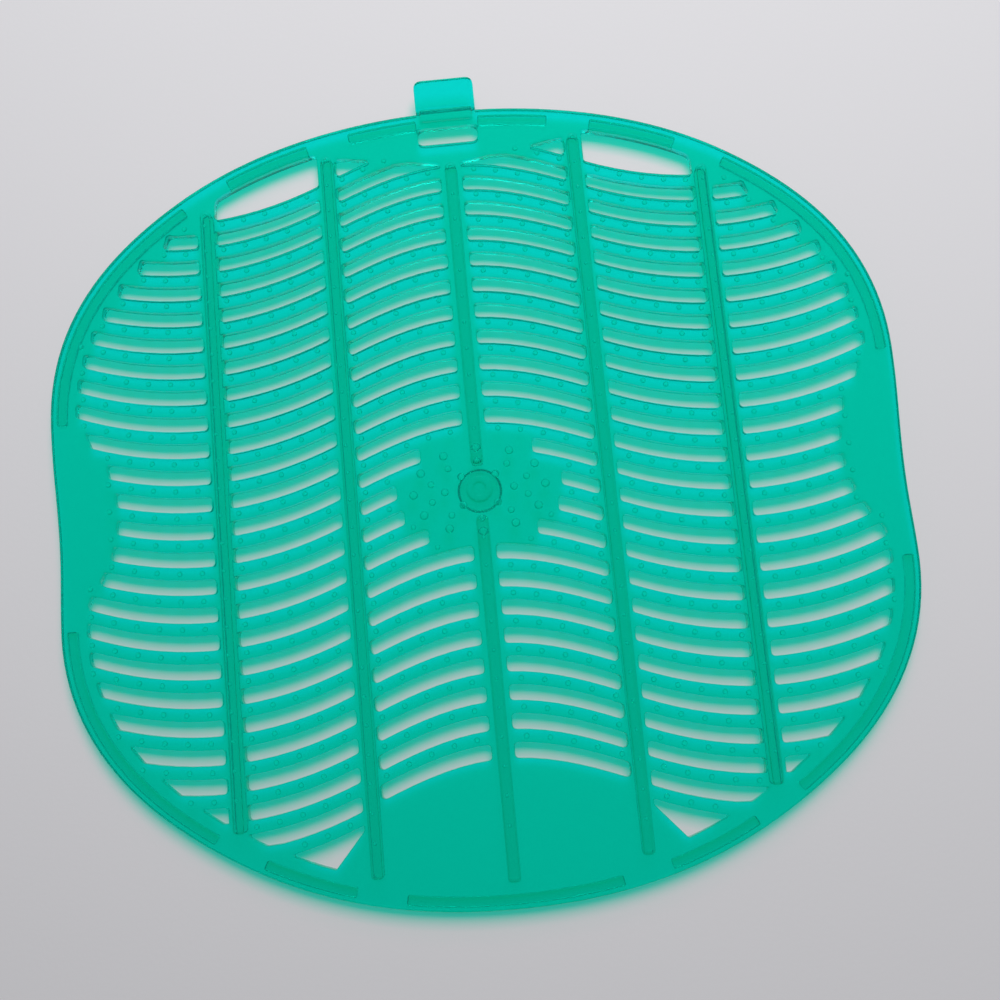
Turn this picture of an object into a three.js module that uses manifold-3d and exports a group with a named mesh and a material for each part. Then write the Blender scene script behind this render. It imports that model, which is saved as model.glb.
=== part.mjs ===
// A urinal deodorizer screen: one moulded mat of clear, tinted, flexible plastic. Wavy slots let the
// liquid through, ribs part the slots into columns, and a solid disc with a boss marks the middle.
// The mat stands on its ribs, its boss and a broken row of feet under its rim. A pull tab lies at its
// head, behind a small window. Lengths are in millimetres, x runs across the mat, y towards the tab.

import * as THREE from 'three';
import { mergeVertices } from 'three/addons/utils/BufferGeometryUtils.js';
import Module from 'manifold-3d';

const { lerp } = THREE.MathUtils;
const wasm = await Module();
wasm.setup();

// Layers, from the resting surface up
const FOOT_DEPTH = 1.6;
const PLATE_THICKNESS = 2.6;
const RIB_RISE = 0.8;

// Outline, measured from the point where the slot rows are counted from
const HALF_WIDTH = 92.6;
const HEAD_LENGTH = 85.8;
const TAIL_LENGTH = 89.4;

// Ribs and the slots between them
const RIB_SPACING = 28;
const RIB_WIDTH = 2.2;
const RIB_MARGIN = 1;
const CENTRE_MARGIN = 1.35;
const RIB_EDGE = 0.3;
const SIDE_RIBS = 2;
const SLOT_HEIGHT = 3.2;
const SLAT_WIDTH = 2.8;
const SLOT_CORNER = 0.9;

// The wave that every slot follows: a cosine crest between the inner ribs, then a parabola
const CREST_Y = 0.9;
const CREST_SWING = 7.8;
const TROUGH_PAST_RIB = 3;
const TROUGH_RADIUS = 70;

// Solid land between the openings and the edge
const RIM_LAND = 5.6;
const LENS_LAND = 4.2;
const LENS_CORNER = 4;
const END_SLANT = 0.4;

// Solid pads at the two sides, each with a round inner edge
const PAD_DEPTH = 13.7;
const PAD_RADIUS = 27.7;
const PAD_Y = 0.3;

// Solid panel at the tail and the braces beside it
const PANEL_LENGTH = 28;
const BRACE_RISE = 20.7;
const BRACE_SLOPE = 1.138;

// Disc and boss in the middle
const DISC_HALF_WIDTH = 18;
const DISC_HALF_HEIGHT = 12;
const DISC_Y = -1.9;
const BOSS_FOOT_RADIUS = 4.7;
const BOSS_RADIUS = 2.8;
const BOSS_RISE = 0.9;
const BOSS_HOLLOW_RADIUS = 1.4;
const BOSS_HOLLOW_DEPTH = 0.5;
const BOSS_GAP = 1.05;

// Pull tab and the window behind it
const TAB_WIDTH = 13.5;
const TAB_REACH = 6.9;
const TAB_THICKNESS = 1.6;
const TAB_CORNER = 1.2;
const TAB_STRIP = 3.6;
const TAB_ROOT_RISE = 1.6;
const TAB_NECK_RISE = 1.2;
const TAB_TIP_RISE = 2;
const TAB_STEP = 0.6;
const WINDOW_WIDTH = 13.6;
const WINDOW_HEIGHT = 4.1;
const WINDOW_CORNER = 1.5;
const WINDOW_LAND = 5;

// Feet under the rim: each starts and ends at a share of the half edge, from the head to the tail
const FOOT_WIDTH = 2.2;
const FOOT_INSET = 0.2;
const FOOT_SHARES = [
  [0.0245, 0.0783],
  [0.112, 0.18],
  [0.22, 0.4235],
  [0.579, 0.7775],
  [0.8173, 0.886],
  [0.9224, 1],
];

// Depth to which a piece is sunk into the plate so that the two join
const ROOT_DEPTH = 0.4;

// Fineness of the curves
const HALF_EDGE_STEPS = 44;
const FOOT_STEP = 7;
const SLOT_CHORDS = 3;
const CLIPPED_CHORDS = 8;
const CORNER_CHORDS = 1;
const CORNER_TURN = 0.5;
const CORNER_ROOM = 0.45;
const ROUND_STEPS = 24;

// The least gap and length that still make an opening, and the step used to find where it starts
const LEAST_GAP = 0.5;
const LEAST_LENGTH = 2;
const SEARCH_STEP = 0.1;
const BISECTIONS = 30;

const plateTop = FOOT_DEPTH + PLATE_THICKNESS;
const slotPitch = SLOT_HEIGHT + SLAT_WIDTH;
const ribLand = RIB_WIDTH + 2 * RIB_MARGIN;
const centreLand = RIB_WIDTH + 2 * CENTRE_MARGIN;
const troughX = SIDE_RIBS * RIB_SPACING + TROUGH_PAST_RIB;
const windowTop = HEAD_LENGTH - TAB_STRIP;
const windowBottom = windowTop - WINDOW_HEIGHT;
const tabTip = HEAD_LENGTH + TAB_REACH;

// Height of the wave at a distance from the middle rib, the same on both sides
function wave(x) {
  const crest = (d) => CREST_Y - CREST_SWING * (1 - Math.cos(Math.PI * d / troughX));
  if (x < RIB_SPACING) {
    return crest(x);
  }
  const fall = (RIB_SPACING - troughX) ** 2 - (x - troughX) ** 2;
  return crest(RIB_SPACING) - fall / (2 * TROUGH_RADIUS);
}

// Right half of the edge, from the middle of the head to the middle of the tail. The knots and
// handles are shares of the half width and of the two lengths.
function makeHalfEdge() {
  const edge = new THREE.Path();
  const curve = (x1, y1, x2, y2, x3, y3, length) => {
    const knot = [x3 * HALF_WIDTH, y3 * length];
    edge.bezierCurveTo(x1 * HALF_WIDTH, y1 * length, x2 * HALF_WIDTH, y2 * length, ...knot);
  };
  edge.moveTo(0, HEAD_LENGTH);
  curve(0.259, 1, 0.483, 0.9375, 0.651, 0.828, HEAD_LENGTH);
  curve(0.861, 0.69, 1, 0.511, 1, 0.246, HEAD_LENGTH);
  edge.bezierCurveTo(
    HALF_WIDTH, 0.105 * HEAD_LENGTH,
    0.988 * HALF_WIDTH, 0.034 * TAIL_LENGTH,
    0.988 * HALF_WIDTH, -0.1 * TAIL_LENGTH,
  );
  curve(0.988, -0.157, 0.9915, -0.212, 0.9915, -0.268, TAIL_LENGTH);
  curve(0.9915, -0.347, 0.982, -0.541, 0.7765, -0.723, TAIL_LENGTH);
  curve(0.501, -0.961, 0.218, -1, 0, -1, TAIL_LENGTH);
  return edge;
}

const halfEdge = makeHalfEdge();

// A point inside the edge, at a share of the half edge and a distance in from it
function insetPoint(share, distance) {
  const point = halfEdge.getPoint(share);
  const tangent = halfEdge.getTangent(share);
  return new THREE.Vector2(point.x + tangent.y * distance, point.y - tangent.x * distance);
}

function insetCurve(distance) {
  const points = [];
  for (let i = 0; i <= HALF_EDGE_STEPS; i++) {
    points.push(insetPoint(i / HALF_EDGE_STEPS, distance));
  }
  return points;
}

// The value of one coordinate of a curve where its other coordinate passes a given value
function lookUp(curve, known, value, wanted) {
  const passes = (a, b) => (a[known] - value) * (b[known] - value) <= 0;
  const after = curve.findIndex((point, i) => i > 0 && passes(point, curve[i - 1]));
  if (after < 1) {
    return undefined;
  }
  const share = (value - curve[after - 1][known]) / (curve[after][known] - curve[after - 1][known]);
  return lerp(curve[after - 1][wanted], curve[after][wanted], share);
}

const field = insetCurve(RIM_LAND);
const lens = insetCurve(LENS_LAND);
const fieldHead = field.filter((point) => point.y > 0);
const fieldTail = field.filter((point) => point.y < 0);
const lensHead = lens.filter((point) => point.y > 0);

const fieldTop = (x) => lookUp(fieldHead, 'x', Math.max(x, fieldHead[0].x), 'y') ?? 0;
const fieldBottom = (x) => lookUp(fieldTail, 'x', Math.max(x, fieldTail.at(-1).x), 'y') ?? 0;
const lensTop = (x) => lookUp(lensHead, 'x', x, 'y') ?? 0;

// Upper limit of the inner columns: a line from under the window to the head end of the first rib
function windowLine(x) {
  const limit = lerp(windowBottom - WINDOW_LAND, fieldTop(RIB_SPACING), x / RIB_SPACING);
  return Math.min(limit, fieldTop(x));
}

// Lower limit of the inner columns: the panel's upper edge, which follows the wave on a whole row
function panelTop(x) {
  const row = Math.ceil((PANEL_LENGTH - TAIL_LENGTH - CREST_Y) / slotPitch);
  return Math.max(row * slotPitch + wave(x), fieldBottom(x));
}

// Lower limit of the middle columns: the brace beside the panel, then the rim
function braceLine(x) {
  return Math.max(BRACE_RISE - TAIL_LENGTH - BRACE_SLOPE * (x - RIB_SPACING), fieldBottom(x));
}

// Outer limit of the outer columns at a height: the rim or the pad, whichever lies further in
function sideLimit(y) {
  const rim = lookUp(field, 'y', y, 'x') ?? 0;
  const rise = Math.abs(y - PAD_Y);
  if (rise >= PAD_RADIUS) {
    return rim;
  }
  const padCentre = HALF_WIDTH - PAD_DEPTH + PAD_RADIUS;
  return Math.min(rim, padCentre - Math.sqrt(PAD_RADIUS ** 2 - rise ** 2));
}

const inDisc = (x, y) => (x / DISC_HALF_WIDTH) ** 2 + ((y - DISC_Y) / DISC_HALF_HEIGHT) ** 2 < 1;

// The last place that passes a test on the way from one that does towards one that may not
function lastPassing(from, to, test) {
  if (test(to)) {
    return to;
  }
  let passing = from;
  let failing = to;
  for (let i = 0; i < BISECTIONS; i++) {
    const middle = (passing + failing) / 2;
    if (test(middle)) {
      passing = middle;
    } else {
      failing = middle;
    }
  }
  return passing;
}

// Where a slot between two lines ends on its way towards a limit. Both edges end near the middle line's
// end, apart by a share of the limit's slant.
function slotEnd(from, towards, low, high, isClear, slant) {
  const endOf = (line) => lastPassing(from, towards, (x) => isClear(x, line(x)));
  const middle = endOf((x) => (low(x) + high(x)) / 2);
  return {
    middle,
    low: lerp(middle, endOf(low), slant),
    high: lerp(middle, endOf(high), slant),
  };
}

// Rounds the corners of a closed polygon that turn sharply. radiusAt gives each corner's radius.
function roundCorners(points, radiusAt) {
  const rounded = [];
  points.forEach((corner, i) => {
    const before = points[(i + points.length - 1) % points.length].clone().sub(corner);
    const after = points[(i + 1) % points.length].clone().sub(corner);
    const turn = Math.PI - before.angleTo(after);
    if (turn < CORNER_TURN) {
      rounded.push(corner);
      return;
    }
    const room = Math.min(before.length(), after.length()) * CORNER_ROOM;
    const reach = Math.min(radiusAt(corner) * Math.tan(turn / 2), room);
    const start = corner.clone().addScaledVector(before.normalize(), reach);
    const end = corner.clone().addScaledVector(after.normalize(), reach);
    rounded.push(...new THREE.QuadraticBezierCurve(start, corner, end).getPoints(CORNER_CHORDS));
  });
  return rounded;
}

// Points along a line that is given as a function, from one x to another
function trace(line, from, to, chords) {
  const points = [];
  for (let i = 0; i <= chords; i++) {
    const x = lerp(from, to, i / chords);
    points.push(new THREE.Vector2(x, line(x)));
  }
  return points;
}

// One opening between two lines. Each line has its own start and end, so that the ends may slant.
function opening(low, high, lowSpan, highSpan, chords, radiusAt = () => SLOT_CORNER) {
  const lowEdge = trace(low, lowSpan[0], lowSpan[1], chords);
  const highEdge = trace(high, highSpan[1], highSpan[0], chords);
  return roundCorners([...lowEdge, ...highEdge], radiusAt);
}

const rowLow = (row) => (x) => row * slotPitch + wave(x);
const rowHigh = (row) => (x) => row * slotPitch + wave(x) + SLOT_HEIGHT;
const rowLimit = Math.ceil((HEAD_LENGTH + TAIL_LENGTH + CREST_SWING) / slotPitch);

// Openings of a column between two ribs, or a rib and the disc. Where a limit crosses a slot, the slot
// ends on it, and the first and last slots of the column run on to the limits.
function columnOpenings({ from, to, bottom, top, corner }) {
  const openings = [];
  const xs = trace(() => 0, from, to, Math.ceil((to - from) / SEARCH_STEP)).map((point) => point.x);
  const holds = (row, x) => rowHigh(row)(x) <= top(x) && rowLow(row)(x) >= bottom(x);
  const fits = (row) => xs.some((x) => holds(row, x));
  for (let row = -rowLimit; row <= rowLimit; row++) {
    if (!fits(row)) {
      continue;
    }
    const low = (x) => (fits(row - 1) ? Math.max(rowLow(row)(x), bottom(x)) : bottom(x));
    const high = (x) => (fits(row + 1) ? Math.min(rowHigh(row)(x), top(x)) : top(x));
    const open = xs.filter((x) => high(x) - low(x) >= LEAST_GAP);
    const start = open[0];
    const end = open.at(-1);
    if (end - start < LEAST_LENGTH) {
      continue;
    }
    const ends = slotEnd(end, start, low, high, (x, y) => !inDisc(x, y), 0);
    const plain = xs.every((x) => high(x) - low(x) === rowHigh(row)(x) - rowLow(row)(x));
    const chords = plain ? SLOT_CHORDS : CLIPPED_CHORDS;
    const isTopCorner = (point) => point.x === end && point.y > low(end) && !fits(row + 1);
    const radiusAt = (point) => (isTopCorner(point) ? corner : SLOT_CORNER);
    openings.push(opening(low, high, [ends.low, end], [ends.high, end], chords, radiusAt));
  }
  return openings;
}

// Openings of the outer column, which end on the rim or the pad
function outerOpenings(from) {
  const openings = [];
  for (let row = -rowLimit; row <= rowLimit; row++) {
    const low = rowLow(row);
    const high = rowHigh(row);
    const slant = rowLow(row)(from) > 0 ? END_SLANT : 1;
    const ends = slotEnd(from, HALF_WIDTH, low, high, (x, y) => x <= sideLimit(y), slant);
    if (ends.middle - from < LEAST_LENGTH) {
      continue;
    }
    openings.push(opening(low, high, [from, ends.low], [from, ends.high], SLOT_CHORDS));
  }
  return openings;
}

const mirrored = (points) => points.map((point) => new THREE.Vector2(-point.x, point.y)).reverse();

function roundedRectangle(halfWidth, bottom, top, radius) {
  const corners = [
    new THREE.Vector2(-halfWidth, bottom),
    new THREE.Vector2(halfWidth, bottom),
    new THREE.Vector2(halfWidth, top),
    new THREE.Vector2(-halfWidth, top),
  ];
  return roundCorners(corners, () => radius);
}

// A closed geometry as a solid
function toSolid(geometry) {
  geometry.deleteAttribute('normal');
  geometry.deleteAttribute('uv');
  const merged = mergeVertices(geometry);
  return new wasm.Manifold(new wasm.Mesh({
    numProp: 3,
    vertProperties: new Float32Array(merged.attributes.position.array),
    triVerts: new Uint32Array(merged.index.array),
  }));
}

// A straight prism over a plan, from one height to another
function prism(shape, bottom, top) {
  const geometry = new THREE.ExtrudeGeometry(shape, { depth: top - bottom, bevelEnabled: false });
  geometry.translate(0, 0, bottom);
  return toSolid(geometry);
}

// The plate with all its openings
function makePlate() {
  const rightEdge = insetCurve(0);
  const outline = new THREE.Shape([...rightEdge, ...mirrored(rightEdge).slice(1, -1)]);
  const middleRibs = { from: RIB_SPACING + ribLand / 2, to: SIDE_RIBS * RIB_SPACING - ribLand / 2 };
  const openings = [
    ...columnOpenings({
      from: centreLand / 2,
      to: RIB_SPACING - ribLand / 2,
      bottom: panelTop,
      top: windowLine,
      corner: SLOT_CORNER,
    }),
    ...columnOpenings({ ...middleRibs, bottom: braceLine, top: lensTop, corner: LENS_CORNER }),
    ...outerOpenings(SIDE_RIBS * RIB_SPACING + ribLand / 2),
  ];
  const tabWindow = roundedRectangle(WINDOW_WIDTH / 2, windowBottom, windowTop, WINDOW_CORNER);
  outline.holes = [...openings, ...openings.map(mirrored), tabWindow].map((points) => new THREE.Path(points));
  return prism(outline, FOOT_DEPTH, plateTop);
}

// A rib from the resting surface to above the plate, with a round head end and a square tail end
function makeRib(x, tail, head) {
  const shape = new THREE.Shape();
  const half = RIB_WIDTH / 2;
  shape.moveTo(x - half, tail);
  shape.lineTo(x + half, tail);
  shape.lineTo(x + half, head - half);
  shape.absarc(x, head - half, half, 0, Math.PI, false);
  const geometry = new THREE.ExtrudeGeometry(shape, {
    depth: plateTop + RIB_RISE - 2 * RIB_EDGE,
    bevelThickness: RIB_EDGE,
    bevelSize: RIB_EDGE,
    bevelOffset: -RIB_EDGE,
    bevelSegments: 1,
    curveSegments: ROUND_STEPS / 4,
  });
  geometry.translate(0, 0, RIB_EDGE);
  return toSolid(geometry);
}

function makeRibs() {
  const ribs = [];
  for (let i = -SIDE_RIBS; i <= SIDE_RIBS; i++) {
    const x = i * RIB_SPACING;
    const tail = fieldBottom(Math.abs(x));
    if (i === 0) {
      const gap = BOSS_FOOT_RADIUS + BOSS_GAP;
      ribs.push(makeRib(x, tail, DISC_Y - gap), makeRib(x, DISC_Y + gap, windowLine(0)));
    } else {
      ribs.push(makeRib(x, tail, fieldTop(Math.abs(x))));
    }
  }
  return ribs;
}

// One foot under the rim on the right side, between two shares of the half edge
function footPlan(start, end) {
  const steps = Math.ceil((end - start) * halfEdge.getLength() / FOOT_STEP);
  const outer = [];
  const inner = [];
  for (let i = 0; i <= steps; i++) {
    const share = lerp(start, end, i / steps);
    outer.push(insetPoint(share, FOOT_INSET));
    inner.unshift(insetPoint(share, FOOT_INSET + FOOT_WIDTH));
  }
  return [...outer, ...inner];
}

function makeFeet() {
  const plans = FOOT_SHARES.map(([start, end]) => footPlan(start, end));
  return [...plans, ...plans.map(mirrored)].map((points) => (
    prism(new THREE.Shape(points), 0, FOOT_DEPTH + ROOT_DEPTH)
  ));
}

// The boss: a wide foot under the plate and a narrow ring with a hollow on top
function makeBoss() {
  const top = plateTop + BOSS_RISE;
  const profile = [
    new THREE.Vector2(0, 0),
    new THREE.Vector2(BOSS_FOOT_RADIUS, 0),
    new THREE.Vector2(BOSS_FOOT_RADIUS, FOOT_DEPTH + ROOT_DEPTH),
    new THREE.Vector2(BOSS_RADIUS, FOOT_DEPTH + ROOT_DEPTH),
    new THREE.Vector2(BOSS_RADIUS, top),
    new THREE.Vector2(BOSS_HOLLOW_RADIUS, top),
    new THREE.Vector2(BOSS_HOLLOW_RADIUS, top - BOSS_HOLLOW_DEPTH),
    new THREE.Vector2(0, top - BOSS_HOLLOW_DEPTH),
  ];
  const geometry = new THREE.LatheGeometry(profile, ROUND_STEPS);
  geometry.rotateX(Math.PI / 2);
  geometry.translate(0, DISC_Y, 0);
  return toSolid(geometry);
}

// The pull tab: a thick root across the rim and a blade that rises towards its tip
function makeTab() {
  const rootStart = windowTop + RIB_EDGE / 2;
  const rootTop = plateTop + TAB_ROOT_RISE;
  const neckTop = plateTop + TAB_NECK_RISE;
  const tipTop = plateTop + TAB_TIP_RISE;
  const side = new THREE.Shape([
    new THREE.Vector2(rootStart, FOOT_DEPTH + ROOT_DEPTH),
    new THREE.Vector2(HEAD_LENGTH, FOOT_DEPTH + ROOT_DEPTH),
    new THREE.Vector2(HEAD_LENGTH + TAB_STEP, neckTop - TAB_THICKNESS),
    new THREE.Vector2(tabTip, tipTop - TAB_THICKNESS),
    new THREE.Vector2(tabTip, tipTop),
    new THREE.Vector2(HEAD_LENGTH + TAB_STEP, neckTop),
    new THREE.Vector2(HEAD_LENGTH, rootTop),
    new THREE.Vector2(rootStart + RIB_EDGE, rootTop),
    new THREE.Vector2(rootStart, rootTop - RIB_EDGE),
  ]);
  const geometry = new THREE.ExtrudeGeometry(side, { depth: TAB_WIDTH, bevelEnabled: false });
  const alongY = new THREE.Vector3(0, 1, 0);
  const alongZ = new THREE.Vector3(0, 0, 1);
  const alongX = new THREE.Vector3(1, 0, 0);
  geometry.applyMatrix4(new THREE.Matrix4().makeBasis(alongY, alongZ, alongX));
  geometry.translate(-TAB_WIDTH / 2, 0, 0);
  const plan = new THREE.Shape(roundedRectangle(TAB_WIDTH / 2, rootStart - TAB_CORNER, tabTip, TAB_CORNER));
  return toSolid(geometry).intersect(prism(plan, 0, tipTop + ROOT_DEPTH));
}

// A solid as a mesh of a scene
function toMesh(solid, name, material) {
  const { vertProperties, triVerts } = solid.getMesh();
  const geometry = new THREE.BufferGeometry();
  geometry.setAttribute('position', new THREE.BufferAttribute(vertProperties, 3));
  geometry.setIndex(new THREE.BufferAttribute(triVerts, 1));
  geometry.computeVertexNormals();
  const mesh = new THREE.Mesh(geometry, material);
  mesh.name = name;
  return mesh;
}

const tealPlastic = new THREE.MeshStandardMaterial({ color: 0x00b89e, roughness: 0.35, metalness: 0 });

const pieces = [...makeRibs(), ...makeFeet(), makeBoss(), makeTab()];
const mat = pieces.reduce((solid, piece) => solid.add(piece), makePlate());

// The origin is the middle of the mat's box, tab included, on the resting surface
const screenMat = toMesh(mat, 'screen_mat', tealPlastic);
screenMat.position.y = (TAIL_LENGTH - tabTip) / 2;

const screen = new THREE.Group();
screen.add(screenMat);

export default screen;
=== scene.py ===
"""A urinal deodorizer screen: one soft moulded mat of clear tinted plastic on pale paper.

The plan is worked out in millimetres, row by row, and turned into one closed skin in metres.
"""

import math

import bmesh
import bpy
from mathutils import Matrix, Vector
from mathutils.geometry import delaunay_2d_cdt


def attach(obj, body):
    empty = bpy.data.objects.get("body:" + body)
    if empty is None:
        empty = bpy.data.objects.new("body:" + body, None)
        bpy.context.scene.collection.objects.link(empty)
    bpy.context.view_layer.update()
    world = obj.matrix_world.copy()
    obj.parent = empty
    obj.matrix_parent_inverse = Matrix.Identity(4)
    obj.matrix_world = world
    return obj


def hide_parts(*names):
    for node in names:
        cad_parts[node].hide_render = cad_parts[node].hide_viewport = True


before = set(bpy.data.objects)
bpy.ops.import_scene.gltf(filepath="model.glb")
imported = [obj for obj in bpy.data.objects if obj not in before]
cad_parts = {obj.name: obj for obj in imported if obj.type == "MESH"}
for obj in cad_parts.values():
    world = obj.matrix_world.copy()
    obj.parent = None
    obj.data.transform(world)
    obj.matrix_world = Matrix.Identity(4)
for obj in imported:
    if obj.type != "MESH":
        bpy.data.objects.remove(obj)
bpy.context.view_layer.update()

bl_info = {
    "name": "Urinal deodorizer screen",
    "version": (1, 0, 0),
    "blender": (4, 5, 0),
    "location": "3D View > Sidebar > Screen",
    "description": "Builds a slotted, ribbed deodorizer mat with its pull tab",
    "category": "Add Mesh",
}

MM = 0.001

# Shares and counts of the plan
SIDE_RIBS = 2
BRACE_SLOPE = 1.138
END_SLANT = 0.4
FOOT_SHARES = (
    (0.0245, 0.0783),
    (0.112, 0.18),
    (0.22, 0.4235),
    (0.579, 0.7775),
    (0.8173, 0.886),
)
TAIL_FOOT_SHARE = 0.9224
FOOT_CORNER_SHARE = 0.2
RIB_CORNER_SHARE = 0.6

# Half width, half height, count, first angle and size share of the rings of pips round the boss
DISC_PIP_RINGS = (
    (14.3, 9.2, 12, 0, 1.0),
    (10.9, 6.3, 10, 18, 0.8),
    (7.5, 3.6, 6, 0, 0.9),
)

# Small radii, fillets and margins, in millimetres
RIB_SHOULDER = 0.4
FOOT_SHOULDER = 0.3
BOSS_SHOULDER = 0.3
BOSS_FOOT_SHOULDER = 1.05
RISE_FILLET = 0.25
FOOT_FILLET = 0.1
BOSS_FOOT_FILLET = 0.5
HOLLOW_ROUND = 0.25
HOLLOW_BEVEL = 0.07
HOLLOW_DEPTH = 0.5
ROOT_INSET = 0.85
ROOT_SETBACK = 0.8
ROOT_OVERLAP = 0.05
ROOT_CORNER = 0.5
BLADE_GAP = 0.1
BLADE_RUN = 0.75
RIB_PIP_MARGIN = 6
SLAT_PIP_MARGIN = 0.5
SLAT_PIP_OVERRUN = 1.5
OPENING_CLEARANCE = 0.4

# The stage, in metres
PAPER_REACH = 3
PAPER_GAP = 0.05 * MM
CAMERA_PLACE = (0.00608, -0.04797, 0.25928)
CAMERA_TURN = (0.161323, 0.014888, -0.093258)
WINDOW_PLACE = (0.092, 0.35, 0.66)
GLINT_PLACE = (0, 0.57, 0.48)

# Fineness, in millimetres or steps
EDGE_STEP = 2.6
SLOT_STEP = 3.2
CORNER_STEPS = 4
CORNER_TURN = 0.35
CLOSED_REACH = 0.45
OPEN_REACH = 0.6
BEZIER_STEPS = 60
RIB_END_STEPS = 12
FOOT_STEP = 4
BLADE_STEP = 0.15
BLADE_STEPS = 6
ROUND_STEPS = 32
SEARCH_STEP = 0.1
LEAST_GAP = 0.5
LEAST_LENGTH = 2
BISECTIONS = 30
ARC = (0.0, 45.0, 90.0)


def length(name, description, millimetres):
    """A size in the sidebar, given in millimetres."""
    return bpy.props.FloatProperty(
        name=name, description=description, default=millimetres * MM, unit="LENGTH", precision=4
    )


def colour(name, description, code):
    """A colour in the sidebar, given as an sRGB hex value."""
    return bpy.props.FloatVectorProperty(
        name=name, description=description, default=linear(code), subtype="COLOR", size=3, min=0, max=1
    )


def linear(code):
    """Linear red, green and blue of an sRGB hex value."""
    values = [int(code[i : i + 2], 16) / 255 for i in (1, 3, 5)]
    return tuple(v / 12.92 if v <= 0.04045 else ((v + 0.055) / 1.055) ** 2.4 for v in values)


class MatSizes(bpy.types.PropertyGroup):
    """Sizes of the moulded mat."""

    half_width: length("Half width", "From the middle rib to the widest point", 92.6)
    head: length("Head length", "From the row origin to the head's edge", 85.8)
    tail: length("Tail length", "From the row origin to the tail's edge", 89.4)
    foot_depth: length("Foot depth", "Height of the plate's underside above the floor", 1.6)
    plate: length("Plate thickness", "Thickness of the slotted plate", 2.6)
    edge_round: length("Edge radius", "Rounding of the plate's edges", 0.42)
    rib_rise: length("Rib rise", "Height of the ribs above the plate", 0.8)
    rib_width: length("Rib width", "Width of a rib", 2.2)
    rib_spacing: length("Rib spacing", "Distance between neighbouring ribs", 28)
    rib_margin: length("Rib margin", "Land between a rib and the slots beside it", 1)
    centre_margin: length("Centre margin", "Land between the middle rib and its slots", 1.35)
    slot: length("Slot height", "Height of a slot", 3.2)
    slat: length("Slat width", "Width of the slat between two slots", 2.8)
    slot_corner: length("Slot corner", "Radius of a slot's corners", 0.9)
    crest: length("Crest", "Place of the wave's crest above the row line", 0.9)
    swing: length("Wave swing", "Half of the wave's fall from crest to trough", 7.8)
    trough_past_rib: length("Trough", "From the outer rib to the trough", 3)
    trough_radius: length("Trough radius", "Radius of the wave's outer part", 70)
    rim: length("Rim land", "Solid land inside the edge", 5.6)
    lens_land: length("Lens land", "Land outside the two large head openings", 4.2)
    lens_corner: length("Lens corner", "Radius of their outer corner", 4)
    pad_depth: length("Pad depth", "Depth of the solid side pads", 13.7)
    pad_radius: length("Pad radius", "Radius of their inner edge", 27.7)
    pad_y: length("Pad place", "Place of the side pads above the row origin", 0.3)
    panel: length("Panel length", "Length of the solid panel at the tail", 28)
    brace_rise: length("Brace rise", "Start of the brace above the tail's edge", 20.7)
    disc_x: length("Disc half width", "Half width of the solid disc", 18)
    disc_y: length("Disc half height", "Half height of the solid disc", 12)
    disc_place: length("Disc place", "Place of the disc above the row origin", -1.9)
    boss_foot: length("Boss foot radius", "Radius of the boss under the plate", 4.7)
    boss: length("Boss radius", "Radius of the ring on the plate", 2.8)
    boss_hollow: length("Boss hollow", "Radius of the ring's hollow", 1.4)
    boss_rise: length("Boss rise", "Height of the ring above the plate", 0.9)
    boss_gap: length("Boss gap", "Gap between the boss and the middle rib", 1.05)
    foot_width: length("Rim foot width", "Width of the feet under the rim", 2.05)
    foot_inset: length("Rim foot inset", "Distance of the feet from the edge", 0.66)
    tab_width: length("Tab width", "Width of the pull tab", 13.5)
    tab_reach: length("Tab reach", "Reach of the tab beyond the head", 6.9)
    tab_thickness: length("Tab thickness", "Thickness of the tab's blade", 1.6)
    tab_corner: length("Tab corner", "Radius of the tab's corners", 2)
    tab_strip: length("Tab strip", "Width of the rim strip behind the tab", 3.6)
    tab_root_rise: length("Tab root rise", "Height of the tab's root above the plate", 1.6)
    tab_neck_rise: length("Tab neck rise", "Height of the blade at its start", 1.2)
    tab_tip_rise: length("Tab tip rise", "Height of the blade at its tip", 2)
    window_width: length("Window width", "Width of the window behind the tab", 13.6)
    window_height: length("Window height", "Height of the window behind the tab", 4.1)
    window_corner: length("Window corner", "Radius of the window's corners", 1.5)
    window_land: length("Window land", "Land between the window and the first slots", 5)


class PipSizes(bpy.types.PropertyGroup):
    """Sizes of the pips on the slats, ribs and disc."""

    slat_pip: length("Slat pip", "Diameter of a pip on a slat", 1.2)
    rib_pip: length("Rib pip", "Diameter of a pip on a rib", 0.9)
    disc_pip: length("Disc pip", "Diameter of a pip on the disc", 1.9)
    pip_pitch: length("Pip pitch", "Distance between pips along a slat", 4.85)
    pip_start: length("First pip", "From a column's edge to its first pip", 2.75)
    pip_share: bpy.props.FloatProperty(
        name="Pip height", description="Height of a pip as a share of its diameter", default=0.38
    )


class Finish(bpy.types.PropertyGroup):
    """Colours of the plastic and the stage."""

    plastic: colour("Plastic", "Colour that the plastic's faces let through", "#18FEF6")
    cast: colour("Cast light", "Colour of the light that falls through the plastic", "#18F4DA")
    bulk: colour("Bulk", "Colour that the plastic's body lets through", "#80FBF8")
    paper: colour("Paper", "Colour of the paper that the mat lies on", "#E4E3E6")
    sky: colour("Sky", "Colour of the soft light from all around", "#F2F4FF")


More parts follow.
